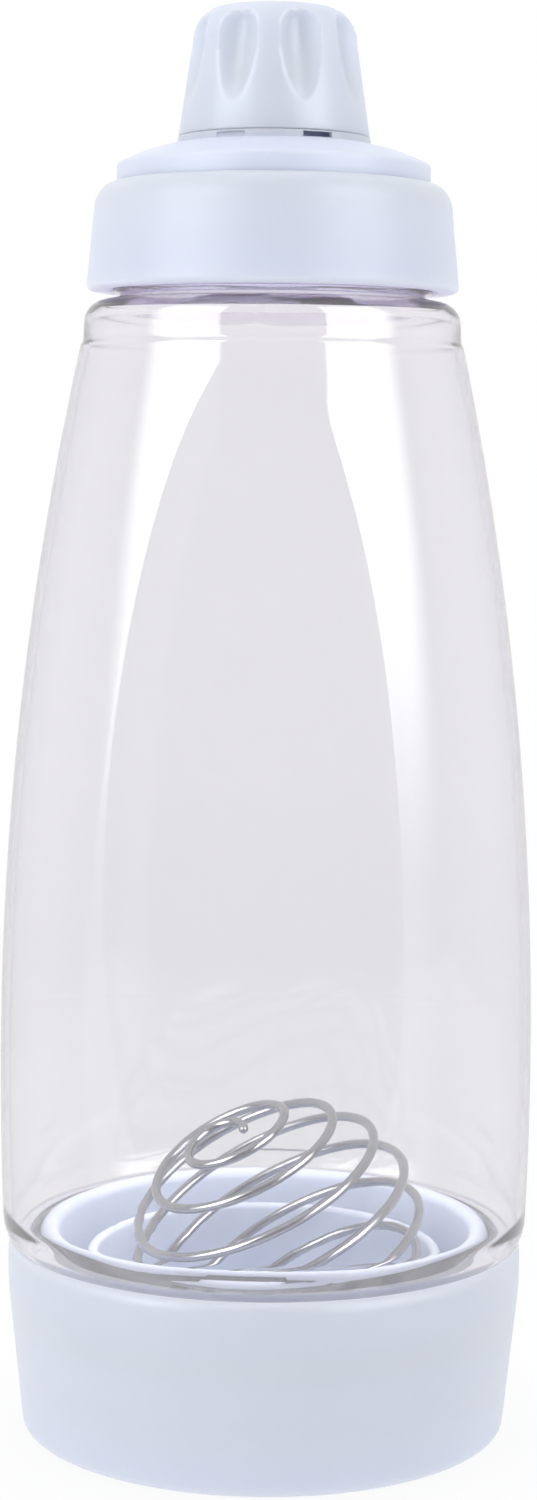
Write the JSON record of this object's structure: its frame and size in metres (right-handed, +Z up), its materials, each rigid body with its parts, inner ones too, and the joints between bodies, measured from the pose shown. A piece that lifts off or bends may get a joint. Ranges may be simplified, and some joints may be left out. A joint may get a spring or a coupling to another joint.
{
  "type": "batter dispenser",
  "caption": "Clear squeeze bottle for mixing and pouring batter, with a screw-on base, a screw lid with a spout and fluted twist cap, and a loose wire whisk ball inside.",
  "frame": {"origin": "centre of the foot ring, on the surface that the dispenser stands on", "axes": "+Z up along the bottle's axis, -Y towards the front grip panel, +X to the right seen from the front"},
  "size_m": [0.1, 0.0992, 0.2646],
  "materials": {
    "white_plastic": "satin moulded",
    "clear_plastic": "clear, slightly hazy",
    "silicone": "soft, milky",
    "steel_wire": "polished stainless"
  },
  "bodies": {
    "base": {"base_cup": "white_plastic"},
    "seal": {"base_seal": "silicone"},
    "bottle": {"bottle_body": "clear_plastic"},
    "spout": {"spout_insert": "white_plastic", "lid_gasket": "silicone", "spout_valve": "silicone", "valve_retainer": "white_plastic"},
    "collar": {"lid_collar": "white_plastic"},
    "plug": {"cap_plug": "silicone"},
    "cap": {"nozzle_cap": "white_plastic"},
    "ball": {"whisk_ball": "steel_wire"}
  },
  "joints": [
    {"name": "bottle_rise", "type": "slide", "parent": "base", "child": "seal", "axis": [0, 0, 1], "range_m": [0, 0.0321]},
    {"name": "bottle_turn", "type": "hinge", "parent": "seal", "child": "bottle", "pos_m": [0, 0, 0.0363], "axis": [0, 0, 1], "range_deg": [0, 1440]},
    {"name": "lid_rise", "type": "slide", "parent": "bottle", "child": "spout", "axis": [0, 0, 1], "range_m": [0, 0.0321]},
    {"name": "collar_turn", "type": "hinge", "parent": "spout", "child": "collar", "pos_m": [0, 0, 0.2235], "axis": [0, 0, 1], "range_deg": [0, 1440]},
    {"name": "cap_rise", "type": "slide", "parent": "spout", "child": "plug", "axis": [0, 0, 1], "range_m": [0, 0.0241]},
    {"name": "cap_turn", "type": "hinge", "parent": "plug", "child": "cap", "pos_m": [0, 0, 0.2455], "axis": [0, 0, 1], "range_deg": [0, 1440]},
    {"name": "ball_bounce", "type": "slide", "parent": "base", "child": "ball", "axis": [0, 0, 1], "range_m": [0, 0.13]}
  ],
  "couplings": [
    {"joint": "bottle_rise", "follows": "bottle_turn", "m_per_rad": 0.0012732},
    {"joint": "lid_rise", "follows": "collar_turn", "m_per_rad": 0.0012732},
    {"joint": "cap_rise", "follows": "cap_turn", "m_per_rad": 0.00095493}
  ]
}
